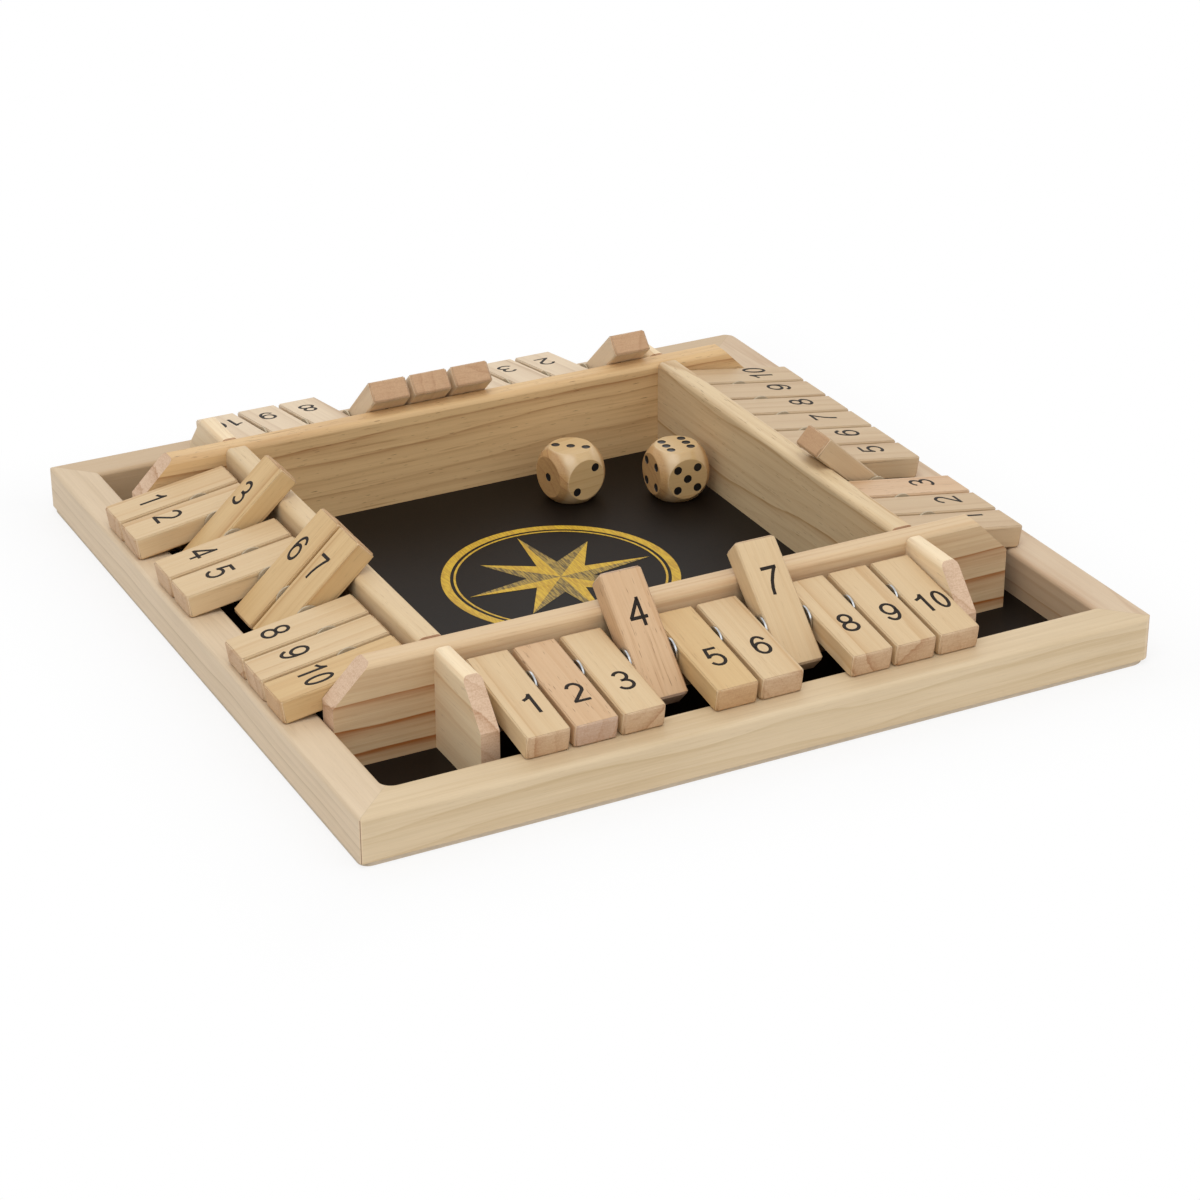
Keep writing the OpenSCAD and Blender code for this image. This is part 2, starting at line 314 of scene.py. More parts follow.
def pine_roughness(tree, marks, cut):
    rough = calc(tree, "MULTIPLY_ADD", marks["fibre"], FIBRE_ROUGHNESS, SMOOTH_PINE)
    return calc(tree, "ADD", rough, calc(tree, "MULTIPLY", cut, CUT_ROUGHNESS))


def pine_relief(tree, late, marks, cut):
    """Fine ridges of fibres and late wood, and the pores of a sawn end."""
    fibres = calc(tree, "MULTIPLY", marks["fibre"], FIBRE_RELIEF)
    ridges = calc(tree, "ADD", fibres, calc(tree, "MULTIPLY", late, RING_RELIEF))
    pores = calc(tree, "MULTIPLY", calc(tree, "MULTIPLY", marks["pores"], cut), PORE_RELIEF)
    return calc(tree, "ADD", ridges, pores)


def pine_group():
    """Softwood about a pith line along X, measured in millimetres."""
    tree = bpy.data.node_groups.new("pine", "ShaderNodeTree")
    for way, sockets in (("INPUT", PINE_INPUTS), ("OUTPUT", PINE_OUTPUTS)):
        for name, kind in sockets:
            tree.interface.new_socket(name=name, in_out=way, socket_type=kind)
    given = tree.nodes.new("NodeGroupInput").outputs
    result = tree.nodes.new("NodeGroupOutput").inputs
    place = scale(tree, given["Place"], 1 / MM)
    marks = {name: mark(tree, place, given["Seed"], name) for name in MARKS}
    late = late_wood(tree, place, given)
    normal = add(tree, "TexCoord").outputs["Normal"]
    facing = calc(tree, "ABSOLUTE", steer(tree, "DOT_PRODUCT", normal, given["Grain"]))
    cut = rise(tree, facing, *CUT_FACING)
    plug(tree, result["Colour"], pine_colour(tree, given, late, marks, facing, cut))
    plug(tree, result["Roughness"], pine_roughness(tree, marks, cut))
    plug(tree, result["Height"], pine_relief(tree, late, marks, cut))
    return tree


PINE = pine_group()

# Widths and places of the rings in millimetres, and how strongly each mark shows
LOOKS = {
    "Ring": 3.2,
    "Wander": 9.0,
    "Contrast": 0.5,
    "Evenness": 0.0,
    "Flecks": 0.35,
    "Pale": "#dcc49c",
    "Brown": "#b08350",
    "End": "#c9a58a",
    "Pith": (0, 14, -22),
}
SATIN_GLOSS = 0.35
WOOD_BUMP = 0.5
WOOD_BUMP_DEPTH = 0.12

# The first piece's seed and the step to the next one's, so that no two look alike
SEEDS = {
    "rail": (20.3, 4.1),
    "bracket": (70.1, 2.7),
    "die": (90.4, 6.6),
    "tile": (110, 3.7),
}


def seed_of(kind, number):
    first, step = SEEDS[kind]
    return first + step * number


def local_place(tree, origin, axes):
    """Object coordinates turned so that X runs along the grain, from origin in metres."""
    turned = Matrix(axes).transposed().to_euler()
    coords = add(tree, "TexCoord").outputs["Object"]
    mapping = add(tree, "Mapping", {"Vector": coords, "Location": origin, "Rotation": turned},
                  vector_type="TEXTURE")
    return mapping.outputs[0]


def pine(name, seed, origin, axes, **look):
    """Pine with its grain along axes[0]; look changes some of LOOKS."""
    made, tree, skin = new_material(name)
    values = {**LOOKS, **look}
    for key in ("Pale", "Brown", "End"):
        values[key] = shade(values[key])
    wood = tree.nodes.new("ShaderNodeGroup")
    wood.node_tree = PINE
    plug(tree, wood.inputs["Place"], local_place(tree, origin, axes))
    wood.inputs["Grain"].default_value = axes[0]
    wood.inputs["Seed"].default_value = seed
    for key, value in values.items():
        wood.inputs[key].default_value = value
    plug(tree, skin.inputs["Base Color"], wood.outputs["Colour"])
    plug(tree, skin.inputs["Roughness"], wood.outputs["Roughness"])
    roughen(tree, skin, wood.outputs["Height"], WOOD_BUMP, WOOD_BUMP_DEPTH)
    skin.inputs["Specular IOR Level"].default_value = SATIN_GLOSS
    return made, skin, wood


# ---------- what every solid gets ----------

# Points of a solid's loose triangles are one point within this distance, in millimetres
SAME_POINT = 0.002


def wear(node, material):
    """Put a material on a solid."""
    mesh = frame["nodes"][node].data
    for place in range(len(mesh.materials)):
        mesh.materials[place] = material


def ease_edges(node, width, sharpest=40):
    """A small real bevel along the edges of a solid that turn by more than sharpest degrees."""
    piece = frame["nodes"][node]
    weld = piece.modifiers.new("weld", "WELD")
    weld.merge_threshold = SAME_POINT * MM
    bevel = piece.modifiers.new("ease", "BEVEL")
    bevel.width = width * MM
    bevel.segments = 2
    bevel.limit_method = "ANGLE"
    bevel.angle_limit = math.radians(sharpest)
    bevel.use_clamp_overlap = True
    bevel.harden_normals = True


def middle_of(node):
    low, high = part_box(node)
    return (low + high) / 2


def side_axes(side):
    """Along the side, outwards from the middle and up, for a side's player facing the tray."""
    turn = Matrix.Rotation(math.radians(TURNS[side]), 3, "Z")
    return turn @ Vector((1, 0, 0)), turn @ Vector((0, -1, 0)), UP


# ---------- frame ----------

# Each rail's pith lies inside and below it, so that its top is plain and its
# outer face shows a few long, wavy rings
RAIL_LOOKS = {
    "front": {"Pale": "#d8c2a0", "Brown": "#a88853", "Pith": (0, -6, -26), "Ring": 8.0,
              "Wander": 20, "Contrast": 0.65, "Evenness": 0.35},
    "right": {"Pale": "#d3bc9f", "Brown": "#a3744a", "Pith": (0, -14, -30), "Ring": 4.5,
              "Contrast": 0.5},
    "back": {"Pale": "#c9b090", "Brown": "#b39268", "Pith": (0, -14, -30), "Ring": 4.0,
             "Contrast": 0.4},
    "left": {"Pale": "#d9c3a5", "Brown": "#a58a64", "Pith": (0, -10, -30), "Ring": 3.6,
             "Wander": 12, "Contrast": 0.6, "Evenness": 0.2},
}
RAIL_FLECKS = 0.12

SEAM_BROWN = "#4a3524"
# Where the seam's line is full and where it has faded, from the mitre in millimetres
SEAM_FADES = (0.05, 0.22)
# How level a face may be for a strong line, and how level it is where the line is faintest
SEAM_LEVEL = (0.3, 0.8)
# Its strength at its faintest, and what a strong line has above that
SEAM_FAINTEST = 0.12
SEAM_RANGE = 0.6


def dress_rails():
    for number, side in enumerate(SIDES):
        node = "frame_" + side
        made, skin, wood = pine("rail_" + side, seed_of("rail", number), middle_of(node),
                                side_axes(side), Flecks=RAIL_FLECKS, **RAIL_LOOKS[side])
        seam_line(made.node_tree, skin, wood)
        wear(node, made)


def seam_line(tree, skin, wood):
    """A thin dark line where two rails meet at a mitre, strongest on the outer faces."""
    coords = add(tree, "TexCoord").outputs
    x, y = split(tree, steer(tree, "ABSOLUTE", coords["Object"]))[:2]
    offset = calc(tree, "ABSOLUTE", calc(tree, "SUBTRACT", x, y))
    line = inverse(tree, rise(tree, offset, SEAM_FADES[0] * MM, SEAM_FADES[1] * MM))
    outer = inverse(tree, rise(tree, split(tree, coords["Normal"])[2], *SEAM_LEVEL))
    strength = calc(tree, "MULTIPLY_ADD", outer, SEAM_RANGE, SEAM_FAINTEST)
    amount = calc(tree, "MULTIPLY", line, strength)
    colour = tint(tree, amount, wood.outputs["Colour"], shade(SEAM_BROWN))
    plug(tree, skin.inputs["Base Color"], colour)


# ---------- tray walls and brackets ----------

WALL_SEEDS = {"front": 62.9, "right": 54.0, "back": 57.3, "left": 60.6}
# The long front wall has a few long, dark rings; the others are finely streaked
WALL_LOOKS = {
    "front": {"Pale": "#d9bd96", "Brown": "#a05e26", "End": "#dcbfa3", "Pith": (0, -22, -62.5),
              "Ring": 9.0, "Wander": 6, "Contrast": 0.95, "Flecks": 0.15},
    "right": {"Pale": "#dcc39b", "Brown": "#a87a46", "Pith": (0, -26, -44),
              "Ring": 5.6, "Wander": 16, "Contrast": 0.7, "Evenness": 0.2, "Flecks": 0.6},
    "back": {"Pale": "#dfbc8a", "Brown": "#9a6636", "End": "#dcbfa3", "Pith": (0, -16, -60),
             "Ring": 5.8, "Wander": 14, "Contrast": 0.75, "Evenness": 0.25, "Flecks": 1.0},
    "left": {"Pale": "#dac19a", "Brown": "#bb9462", "Pith": (0, 26, -40),
             "Ring": 5.0, "Contrast": 0.5},
}
BRACKETS = ("front_left", "front_right", "back_left", "back_right")
# A bracket's grain runs from front to back
BRACKET_AXES = (Vector((0, -1, 0)), Vector((1, 0, 0)), UP)
# A bracket's pale wood is lighter than the walls': its own tone brightened with painted light, for the
# shaded corners of the tray where it stands
BRACKET_LOOK = {"Pale": "#f0dab6", "Brown": "#c89a62", "End": "#dcbfa3", "Pith": (0, -34, -30),
                "Ring": 6.5, "Contrast": 0.6}
WALL_BEVEL = 0.5


def dress_walls():
    for side in SIDES:
        node = "tray_wall_" + side
        made = pine("wall_" + side, WALL_SEEDS[side], middle_of(node), side_axes(side),
                    **WALL_LOOKS[side])[0]
        wear(node, made)
        ease_edges(node, WALL_BEVEL)


def dress_brackets():
    for number, name in enumerate(BRACKETS):
        node = "bracket_" + name
        made = pine("bracket_wood_" + name, seed_of("bracket", number), middle_of(node),
                    BRACKET_AXES, **BRACKET_LOOK)[0]
        wear(node, made)
        ease_edges(node, WALL_BEVEL)


# ---------- base board ----------

# The film is black with a warm brown tinge, which is painted reflection of the wood around it
FILM_DARK = "#0e0906"
FILM_LIGHT = "#150e09"
DUST = "#6a5a4a"
RAW_DARK = "#b3a28c"
RAW_LIGHT = "#d8c8b2"
RAW_ROUGHNESS = (0.75, 0.75, 0.75, 1)
FILM_GLOSS = 0.17
FILM_ROUGHNESS = 0.42
SPECK_ROUGHNESS = 0.12
SPECK_BUMP = 0.25
SPECK_BUMP_DEPTH = 0.05
# Noise of the film's specks and clouds and of the raw board's fibres, each as its stretch,
# seed, detail and roughness
SPECKS = ((1.6, 1.6, 1.6), 4.0, 4.0, 0.7)
CLOUDS = ((0.02, 0.02, 0.02), 2.0, 2.0)
RAW_FIBRES = ((0.3, 0.3, 2.5), 9.0, 3.0)
# How level a face must be to carry the film, and where specks are seen as dust
FILM_FACING = (0.4, 0.6)
DUST_SHOWS = (0.68, 0.8)
DUST_SHARE = 0.06


def dress_board():
    """Black film tinged brown as painted reflection of the wood, with a little dust on top, and raw board
    at the edge and underneath.
    """
    made, tree, skin = new_material("board_film")
    coords = add(tree, "TexCoord").outputs
    place = scale(tree, coords["Object"], 1 / MM)
    top = rise(tree, split(tree, coords["Normal"])[2], *FILM_FACING)
    speck = grainy(tree, place, *SPECKS).outputs[0]
    cloud = grainy(tree, place, *CLOUDS).outputs[0]
    fibre = grainy(tree, place, *RAW_FIBRES).outputs[0]
    film = tint(tree, cloud, shade(FILM_DARK), shade(FILM_LIGHT))
    dusty = calc(tree, "MULTIPLY", rise(tree, speck, *DUST_SHOWS), DUST_SHARE)
    film = tint(tree, dusty, film, shade(DUST))
    raw = tint(tree, fibre, shade(RAW_DARK), shade(RAW_LIGHT))
    satin = calc(tree, "MULTIPLY_ADD", speck, SPECK_ROUGHNESS, FILM_ROUGHNESS)
    plug(tree, skin.inputs["Base Color"], tint(tree, top, raw, film))
    plug(tree, skin.inputs["Roughness"], tint(tree, top, RAW_ROUGHNESS, satin))
    roughen(tree, skin, speck, SPECK_BUMP, SPECK_BUMP_DEPTH)
    skin.inputs["Specular IOR Level"].default_value = FILM_GLOSS
    wear("base_board", made)


# ---------- steel ----------

LIT_STEEL = ("#a3a5a8", "#d6d8da")
# Steel with painted shade, for the washers and rods behind the front row
PAINTED_SHADE_STEEL = ("#a8987f", "#ccbda2")
# The steel behind the front row, on washers and rods, is painted with shade: beige, rougher and less
# metallic than the front row's. Where the front row's steel ends and the painted shade begins, from the
# middle towards the back in millimetres
LIT_STEEL_TO = -104
PAINTED_SHADE_FROM = -100
LIT_STEEL_ROUGHNESS = 0.25
LIT_STEEL_METALLIC = 1.0
# What the steel with painted shade has more or less of
PAINTED_SHADE_ROUGHNESS = 0.3
PAINTED_SHADE_METALLIC = -0.7
SCRATCHES = ((2.5, 2.5, 0.4), 1.0, 3.0)
SCRATCH_BUMP = 0.3
SCRATCH_BUMP_DEPTH = 0.03


def dress_steel():
    made, tree, skin = new_material("steel_with_painted_shade")
    coords = add(tree, "TexCoord").outputs["Object"]
    scratch = grainy(tree, scale(tree, coords, 1 / MM), *SCRATCHES).outputs[0]
    bright = tint(tree, scratch, *map(shade, LIT_STEEL))
    # Painted shade: behind the front row the steel turns beige, rougher and less metallic
    shaded_steel = tint(tree, scratch, *map(shade, PAINTED_SHADE_STEEL))
    back = rise(tree, split(tree, coords)[1], LIT_STEEL_TO * MM, PAINTED_SHADE_FROM * MM)
    plug(tree, skin.inputs["Base Color"], tint(tree, back, bright, shaded_steel))
    rough = calc(tree, "MULTIPLY_ADD", back, PAINTED_SHADE_ROUGHNESS, LIT_STEEL_ROUGHNESS)
    plug(tree, skin.inputs["Roughness"], rough)
    metallic = calc(tree, "MULTIPLY_ADD", back, PAINTED_SHADE_METALLIC, LIT_STEEL_METALLIC)
    plug(tree, skin.inputs["Metallic"], metallic)
    roughen(tree, skin, scratch, SCRATCH_BUMP, SCRATCH_BUMP_DEPTH)
    wear("washers", made)
    for side in SIDES:
        wear("rod_" + side, made)


# ---------- dice ----------

DIE_LOOK = {"Pale": "#d0b07e", "Brown": "#ab7d44", "End": "#c59d68", "Ring": 2.4,
            "Wander": 3, "Contrast": 0.4, "Flecks": 0.1}
DIE_VARNISH = 0.6
DIE_VARNISH_ROUGHNESS = 0.18
# The rims between a die's flats and its ball turn by less than other sharp edges
DIE_BEVEL = 0.4
DIE_SHARPEST = 12
PIP_INK = "#0e0c0c"
# How far the ink keeps inside a face's flat and under it, in millimetres
INK_MARGIN = 0.03


def dress_dice():
    for number, (name, turn) in enumerate(DIE_TURNS.items()):
        spin = Matrix.Rotation(math.radians(turn), 3, "Z")
        axes = (spin @ Vector((1, 0, 0)), spin @ Vector((0, 1, 0)), UP)
        made, skin, wood = pine("wood_" + name, seed_of("die", number), middle_of(name), axes,
                                **DIE_LOOK)
        ink_pips(made.node_tree, skin, wood)
        skin.inputs["Coat Weight"].default_value = DIE_VARNISH
        skin.inputs["Coat Roughness"].default_value = DIE_VARNISH_ROUGHNESS
        wear(name, made)
        ease_edges(name, DIE_BEVEL, DIE_SHARPEST)


def ink_pips(tree, skin, wood):
    """Black ink in the pits: what lies inside a face's flat circle, below the flat."""
    place = wood.inputs["Place"].links[0].from_socket
    x, y, z = split(tree, steer(tree, "ABSOLUTE", place))
    deepest = calc(tree, "MAXIMUM", calc(tree, "MAXIMUM", x, y), z)
    reach = steer(tree, "LENGTH", place)
    off_axis = calc(tree, "SUBTRACT", calc(tree, "POWER", reach, 2.0), calc(tree, "POWER", deepest, 2.0))
    flat_r = (DIE_FLAT_D / 2 - INK_MARGIN) * MM
    flat_at = (DIE_SIZE / 2 - INK_MARGIN) * MM
    inside = calc(tree, "LESS_THAN", off_axis, flat_r ** 2)
    ink = calc(tree, "MULTIPLY", inside, calc(tree, "LESS_THAN", deepest, flat_at))
    plug(tree, skin.inputs["Base Color"], tint(tree, ink, wood.outputs["Colour"], shade(PIP_INK)))


# ---------- tiles ----------

TILE_TONES = {
    "cream": {"Pale": "#d6bb93", "Brown": "#b4854e", "End": "#ccae8c", "Flecks": 0.2},
    "tan": {"Pale": "#c8ad88", "Brown": "#a0744a", "End": "#c09a72", "Flecks": 0.2},
    # Paler and greyer wood for the back row: partly its own tone, partly painted sheen
    "ashen_and_sheen": {"Pale": "#dfc8a8", "Brown": "#a57c50", "End": "#c8a27c", "Flecks": 0.2},
    "honey": {"Pale": "#d2b281", "Brown": "#ac7c45", "End": "#c7a379", "Flecks": 0.3, "Contrast": 0.65},
    "rosy": {"Pale": "#d2b08a", "Brown": "#b07a45", "End": "#c6aa94", "Flecks": 1.0, "Contrast": 0.5},
}
# The back row's tone carries painted sheen
ROW_TONES = {"front": "cream", "right": "tan", "back": "ashen_and_sheen", "left": "cream"}
ROSY_TILES = ("tile_front_2", "tile_front_4", "tile_right_3")
HONEY_TILES = ("tile_front_5", "tile_left_3", "tile_left_6", "tile_left_7", "tile_left_10")

# What differs by chance from tile to tile, with the pith's turn in degrees
CONTRASTS = (0.28, 0.6)
RINGS = (4.5, 9.0)
WANDERS = (2, 6)
PITH_TURNS = (-60, 60)
PITH_REACHES = (25, 60)
CHANCE_START = 11

ROW_GLOSS = {"front": SATIN_GLOSS, "right": 0.7, "back": 0.7, "left": SATIN_GLOSS}
# An upper limit: it gets narrower where a tile's own rounded edges leave less room
TILE_BEVEL = 0.8


def tile_joints():
    return [joint for joint in frame["joints"] if joint["child"].startswith("tile_")]


def side_and_number(tile):
    return tile.split("_")[1:]


def tile_frame(joint):
    """A tile's own axes: along the rod, towards the tray end, and out of its shut face."""
    along = -Vector(joint["axis"])
    outwards = along.cross(UP)
    raised = joint["range_deg"][0] < 0
    angle = math.radians(RAISED_ANGLE if raised else SHUT_ANGLE)
    if raised:
        reach = -math.cos(angle) * outwards + math.sin(angle) * UP
    else:
        reach = math.cos(angle) * outwards - math.sin(angle) * UP
    return along, -reach, along.cross(-reach)


def tile_tone(tile):
    if tile in ROSY_TILES:
        return "rosy"
    if tile in HONEY_TILES:
        return "honey"
    return ROW_TONES[side_and_number(tile)[0]]


def tile_look(tile, chance):
    """A tile's tone, and rings that differ from those of the next one."""
    look = dict(TILE_TONES[tile_tone(tile)])
    if "Contrast" not in look:
        look["Contrast"] = chance.uniform(*CONTRASTS)
    look["Ring"] = chance.uniform(*RINGS)
    look["Wander"] = chance.uniform(*WANDERS)
    turn = math.radians(chance.uniform(*PITH_TURNS))
    reach = chance.uniform(*PITH_REACHES) * chance.choice((-1, 1))
    look["Pith"] = (0, reach * math.cos(turn), reach * math.sin(turn))
    return look


def dress_tiles():
    chance = random.Random(CHANCE_START)
    for number, joint in enumerate(tile_joints()):
        tile = joint["child"]
        along, inwards, face = tile_frame(joint)
        made, skin = pine("wood_" + tile, seed_of("tile", number), Vector(joint["pos_m"]),
                          (inwards, -along, face), **tile_look(tile, chance))[:2]
        skin.inputs["Specular IOR Level"].default_value = ROW_GLOSS[side_and_number(tile)[0]]
        wear(tile, made)
        ease_edges(tile, TILE_BEVEL)


# ---------- numerals ----------

# Width of a stroke, and half a numeral's height between its strokes' middle lines
STROKE = 1.22
HALF_H = 4.4
# An upright stroke ends level with the outer edge of a lying one
STROKE_END = HALF_H + STROKE / 2
# Where the digits of a number start, by how many it has
DIGIT_STARTS = {1: (0,), 2: (-4.6, 2.6)}
# A print's height against the width of its strokes
NUMERAL_FLATNESS = 0.12
# A stroke whose ends are nearer than this closes into a loop
LOOP_GAP = 0.01


def arc(x, y, across, tall, start, end, steps=14):
    """Points on an oval, from start to end in degrees."""
    turns = [math.radians(start + (end - start) * step / steps) for step in range(steps + 1)]
    return [(x + across * math.cos(turn), y + tall * math.sin(turn)) for turn in turns]


# The middle lines of plain numerals about their own middle, in millimetres. A stroke ends
# wherever it would turn sharply, and runs on a little past the corner.
STROKES = {
    "0": [arc(0, 0, 1.9, HALF_H, 0, 360, 28)],
    "1": [[(-1.0, 2.2), (0.7, 3.0), (1.75, HALF_H)],
          [(1.75, STROKE_END), (1.75, -STROKE_END)]],
    "2": [arc(0, 1.8, 2.35, 2.6, 165, -30) + [(-2.5, -HALF_H)],
          [(-2.9, -HALF_H), (2.8, -HALF_H)]],
    "3": [arc(-0.15, 2.25, 2.1, 2.15, 160, -90) + [(-0.9, 0.1)],
          arc(-0.15, -2.15, 2.5, 2.25, 90, -162)],
    "4": [[(1.35, -STROKE_END), (1.35, STROKE_END)],
          [(1.45, HALF_H), (-2.8, -2.0)],
          [(-3.2, -2.0), (3.1, -2.0)]],
    "5": [[(-2.1, HALF_H), (2.2, HALF_H)],
          [(-1.55, HALF_H), (-2.2, -0.35)],
          arc(-0.05, -1.6, 2.5, 2.8, 145, -158)],
    "6": [arc(0.15, -1.6, 2.3, 2.8, 0, 360, 24),
          arc(0.45, -0.3, 2.6, 4.7, 35, 190)],
    "7": [[(-2.6, HALF_H), (3.0, HALF_H)],
          [(2.5, HALF_H), (1.2, 2.3), (0, -0.2), (-0.65, -2.5), (-0.9, -STROKE_END)]],
    "8": [arc(0, 2.25, 2.0, 2.15, 0, 360, 24),
          arc(0, -2.15, 2.45, 2.25, 0, 360, 24)],
}
# A 9 is a 6 turned round
STROKES["9"] = [[(-x, -y) for x, y in line] for line in STROKES["6"]]


def draw_stroke(curve, line, start):
    """Add one stroke to a curve, start millimetres along from the middle."""
    closed = math.dist(line[0], line[-1]) < LOOP_GAP
    points = line[:-1] if closed else line
    spline = curve.splines.new("POLY")
    spline.points.add(len(points) - 1)
    spline.use_cyclic_u = closed
    for point, (x, y) in zip(spline.points, points):
        point.co = ((x + start) * MM, y * MM, 0, 1)


def numeral(text):
    """A flat print of one number about the origin, as a thin closed mesh."""
    curve = bpy.data.curves.new("numeral_" + text, "CURVE")
    curve.dimensions = "3D"
    curve.bevel_depth = STROKE / 2 * MM
    curve.bevel_resolution = 1
    curve.use_fill_caps = True
    for digit, start in zip(text, DIGIT_STARTS[len(text)]):
        for line in STROKES[digit]:
            draw_stroke(curve, line, start)
    piece = bpy.data.objects.new("numeral_" + text, curve)
    bpy.context.scene.collection.objects.link(piece)
    pick(piece)
    bpy.ops.object.convert(target="MESH")
    piece.data.transform(Matrix.Diagonal((1, 1, NUMERAL_FLATNESS, 1)))
    return piece


def pick(*pieces):
    """Select these pieces alone, with the first one active."""
    bpy.ops.object.select_all(action="DESELECT")
    for piece in pieces:
        piece.select_set(True)
    bpy.context.view_layer.objects.active = pieces[0]


def placed(piece, name, x_axis, y_axis, origin):
    """A copy with its own mesh, laid out in the plane of two axes."""
    copy = piece.copy()
    copy.data = piece.data.copy()
    copy.name = name
    bpy.context.scene.collection.objects.link(copy)
    z_axis = x_axis.cross(y_axis)
    place = Matrix((x_axis, y_axis, z_axis)).transposed().to_4x4()
    copy.data.transform(Matrix.Translation(origin) @ place)
    return copy


# A numeral's middle in millimetres: how far it lies to the right of its tile's middle as the
# side's player reads it, and how far from the rod, where minus is towards the tile's long
# end. One place is on the face that shows when the tile is shut, the other on its back.
NUMBER_ON_SHUT = {"front": (0.8, -12.5), "right": (2.0, -14.0), "back": (0.6, -15.6),
                  "left": (-1.3, -13.8)}
NUMBER_ON_RAISED = {"front": (0.4, -14.1), "right": (0.4, -14.1), "back": (0.4, -14.1),
                    "left": (-1.9, -14.1)}
# How much nearer to the rod each next number of a row is printed on the shut face
NUMBER_DRIFT = {"front": 0.24, "right": 0.14, "back": 0, "left": 0}
MIDDLE_NUMBER = 5.5
LAST_NUMBER = 10
# How far a number of one or two digits may be off its tile's middle and still lie on the flat
NUMBER_PLAY = {1: (-2.8, 2.8), 2: (-0.5, 1.5)}

NUMBER_INK = ("#140e0a", "#2a2119")
INK_GLOSS = 0.2
INK_ROUGHNESS = 0.5
WORN_ROUGHNESS = 0.2
WORN_SPOTS = ((1.5, 1.5, 1.5), 3.0, 4.0, 0.7)


def on_flat(number, x):
    least, most = NUMBER_PLAY[len(number)]
    return min(max(x, least), most)


def number_places(joint):
    """Where a tile's number goes on its shut face and on its raised one."""
    side, number = side_and_number(joint["child"])
    along, inwards, face = tile_frame(joint)
    rod = Vector(joint["pos_m"])
    half = TILE_T / 2 * MM * face
    x, y = NUMBER_ON_SHUT[side]
    y += NUMBER_DRIFT[side] * (int(number) - MIDDLE_NUMBER)
    on_shut = rod + on_flat(number, x) * MM * along + y * MM * inwards + half
    x, y = NUMBER_ON_RAISED[side]
    on_raised = rod + on_flat(number, x) * MM * along + y * MM * inwards - half
    return on_shut, on_raised


def number_tiles():
    """One piece of ink for each tile, with its number on both faces."""
    ink = ink_material()
    prints = {str(number): numeral(str(number)) for number in range(1, LAST_NUMBER + 1)}
    for joint in tile_joints():
        side, number = side_and_number(joint["child"])
        along, inwards = tile_frame(joint)[:2]
        on_shut, on_raised = number_places(joint)
        shut = placed(prints[number], f"number_{side}_{number}", along, inwards, on_shut)
        raised = placed(prints[number], "other_face", along, -inwards, on_raised)
        pick(shut, raised)
        bpy.ops.object.join()
        shut.data.materials.clear()
        shut.data.materials.append(ink)
        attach(shut, joint["child"])
    for piece in prints.values():
        bpy.data.objects.remove(piece)


def ink_material():
    made, tree, skin = new_material("black_print")
    place = scale(tree, add(tree, "TexCoord").outputs["Object"], 1 / MM)
    worn = grainy(tree, place, *WORN_SPOTS).outputs[0]
    plug(tree, skin.inputs["Base Color"], tint(tree, worn, *map(shade, NUMBER_INK)))
    rough = calc(tree, "MULTIPLY_ADD", worn, WORN_ROUGHNESS, INK_ROUGHNESS)
    plug(tree, skin.inputs["Roughness"], rough)
    skin.inputs["Specular IOR Level"].default_value = INK_GLOSS
    return made


# ---------- gold print on the board ----------

# All in millimetres: two rings by their outer and inner radius, and two stars by the radius
# of their tips, the radius between the tips and the turn in degrees
PRINT_T = 0.05
PRINT_RINGS = {"print_ring_outer": (42, 38.8), "print_ring_inner": (37.6, 36.8)}
PRINT_STARS = {"print_star_under": (30, 9, 45), "print_star": (35, 7, 0)}
RING_CORNERS = 128
STAR_POINTS = 4

GOLD = ("#d3ad24", "#b98f22")
SHADED_GOLD = ("#a88a34", "#5c4a1e")
GOLD_ROUGHNESS = 0.38
HATCH_ROUGHNESS = 0.15
HATCHING = ((2.2, 0.25, 1), 6.0, 2.0)
HATCH_SHOWS = (0.4, 0.62)


def flat_disc(name, corners, radius, fill):
    """A flat disc about the origin, open in edit mode."""
    bpy.ops.object.select_all(action="DESELECT")
    bpy.ops.mesh.primitive_circle_add(vertices=corners, radius=radius * MM, fill_type=fill)
    piece = bpy.context.object
    piece.name = name
    bpy.ops.object.mode_set(mode="EDIT")
    return piece


def thicken():
    """Raise the flat shape in edit mode to the print's thickness, and leave edit mode."""
    bpy.ops.mesh.select_all(action="SELECT")
    bpy.ops.mesh.extrude_region_move(TRANSFORM_OT_translate={"value": (0, 0, PRINT_T * MM)})
    bpy.ops.mesh.select_all(action="SELECT")
    bpy.ops.mesh.normals_make_consistent(inside=False)
    bpy.ops.object.mode_set(mode="OBJECT")


def flat_ring(name, outer, inner):
    piece = flat_disc(name, RING_CORNERS, outer, "NGON")
    bpy.ops.mesh.select_all(action="SELECT")
    bpy.ops.mesh.inset(thickness=(outer - inner) * MM)
    bpy.ops.mesh.delete(type="FACE")
    thicken()
    return piece


def flat_star(name, outer, inner, turn):
    """A star whose points are each split down the middle."""
    piece = flat_disc(name, 2 * STAR_POINTS, outer, "TRIFAN")
    bpy.ops.mesh.select_all(action="DESELECT")
    bpy.ops.object.mode_set(mode="OBJECT")
    for vertex in piece.data.vertices:
        steps = math.degrees(math.atan2(vertex.co.y, vertex.co.x)) * STAR_POINTS / 180
        vertex.select = vertex.co.length > 0.5 * outer * MM and round(steps) % 2 == 1
    bpy.ops.object.mode_set(mode="EDIT")
    bpy.ops.transform.resize(value=(inner / outer, inner / outer, 1), center_override=(0, 0, 0))
    thicken()
    piece.data.transform(Matrix.Rotation(math.radians(turn), 4, "Z"))
    return piece


